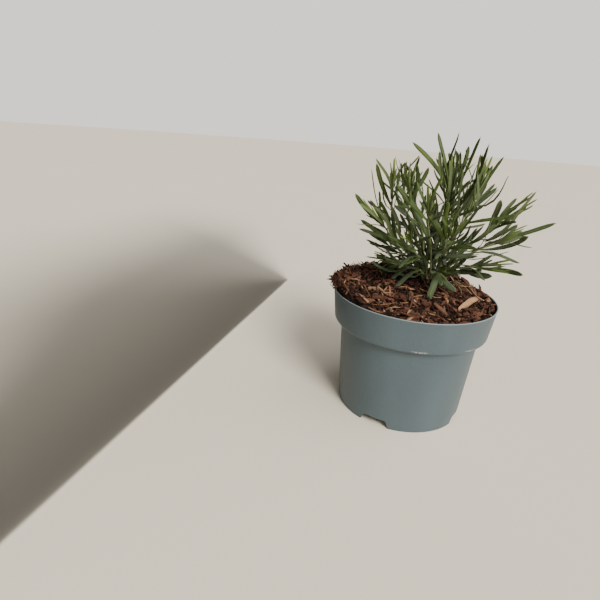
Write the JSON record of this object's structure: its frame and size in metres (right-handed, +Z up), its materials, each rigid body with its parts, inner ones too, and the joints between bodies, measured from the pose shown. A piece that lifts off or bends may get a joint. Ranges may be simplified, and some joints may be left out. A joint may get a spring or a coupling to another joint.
{
  "type": "potted lavender",
  "caption": "Young bushy lavender plant with narrow grey-green leaves, rooted in a tapered plastic nursery pot and topped with bark mulch.",
  "frame": {"origin": "centre of the pot's footprint on the surface it stands on, which is also the bottom centre of the whole object's bounding box", "axes": "+Z up; the pot's four feet lie on the X and Y axes and its four drain notches on the diagonals; the longest leaves reach towards +X and -Y"},
  "size_m": [0.168, 0.168, 0.2865],
  "materials": {
    "pot_plastic": "thin injection-moulded polypropylene, blue-grey, satin with a fine speckle and scuffs",
    "peat": "dark fibrous peat with fine pale roots",
    "bark": "shredded red-brown bark mulch, rough and dry",
    "bark_tan": "split tan heartwood chip, dry",
    "crown_wood": "grey-brown woody stem base",
    "leaf": "grey-green felted leaf on a pale green square stem",
    "straw": "dry straw-coloured stalk"
  },
  "bodies": {
    "root": {"bark_chip_front": "bark_tan", "bark_chip_front_edge": "bark", "bark_chip_front_left": "bark", "bark_chip_large_tan": "bark_tan", "bark_chip_left": "bark", "bark_chip_left_rear": "bark", "bark_chip_middle": "bark", "bark_chip_orange": "bark_tan", "bark_chip_rear": "bark", "bark_chip_rear_right": "bark", "bark_chip_right": "bark", "bark_chip_right_front": "bark", "dry_stalk": "straw", "mulch_bed": "bark", "pot": "pot_plastic", "root_ball": "peat", "shoot_centre_rear": "leaf", "shoot_centre_tall": "leaf", "shoot_front_basal": "leaf", "shoot_front_left": "leaf", "shoot_front_right": "leaf", "shoot_front_tall": "leaf", "shoot_left_basal": "leaf", "shoot_left_high": "leaf", "shoot_left_inner": "leaf", "shoot_left_middle": "leaf", "shoot_middle_left": "leaf", "shoot_rear_centre": "leaf", "shoot_rear_left": "leaf", "shoot_rear_left_low": "leaf", "shoot_rear_low": "leaf", "shoot_rear_right": "leaf", "shoot_right_basal": "leaf", "shoot_right_high": "leaf", "shoot_right_low": "leaf", "shoot_right_middle": "leaf", "woody_crown": "crown_wood"}
  },
  "joints": []
}
